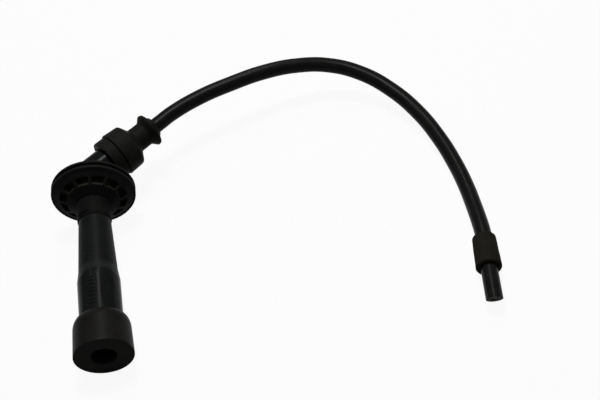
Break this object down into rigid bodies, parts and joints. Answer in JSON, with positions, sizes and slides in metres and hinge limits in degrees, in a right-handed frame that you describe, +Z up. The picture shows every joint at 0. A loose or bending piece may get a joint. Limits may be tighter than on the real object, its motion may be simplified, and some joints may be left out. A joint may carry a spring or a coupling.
{
  "type": "spark plug wire",
  "caption": "Angled spark plug cap with a rubber well cover and cable boot on a short ignition cable with a rubber sleeve near its cut end.",
  "frame": {"origin": "on the floor under the middle of the cap's bounding box, without the cable, its core and the coil sleeve", "axes": "+Z is up from the floor that the part lies on; -Y is the way the plug's mouth points, seen from above; +X is the side that the cable leaves towards"},
  "size_m": [0.1829, 0.1527, 0.0367],
  "materials": {
    "cap_moulding": "black moulding with a soft gloss",
    "cover_rubber": "matt black rubber",
    "seal_rubber": "satin black rubber",
    "boot_rubber": "satin black rubber",
    "cable_jacket": "smooth black cable jacket with a soft sheen",
    "sleeve_rubber": "dull black rubber, faintly brown",
    "contact_brass": "turned brass",
    "spring_steel": "bright drawn steel",
    "resistor_ceramic": "unglazed ceramic",
    "core_carbon": "dull carbon-filled core"
  },
  "bodies": {
    "root": {"cap_body": "cap_moulding", "well_cover": "cover_rubber", "mouth_seal": "seal_rubber", "cable_boot": "boot_rubber", "plug_contact": "contact_brass", "plug_clip": "spring_steel", "resistor_rod": "resistor_ceramic", "resistor_cap_lower": "spring_steel", "resistor_cap_upper": "spring_steel", "contact_spring": "spring_steel", "outlet_bush": "contact_brass", "cable_screw": "contact_brass", "cable_jacket": "cable_jacket", "cable_core": "core_carbon", "coil_sleeve": "sleeve_rubber"}
  },
  "joints": []
}
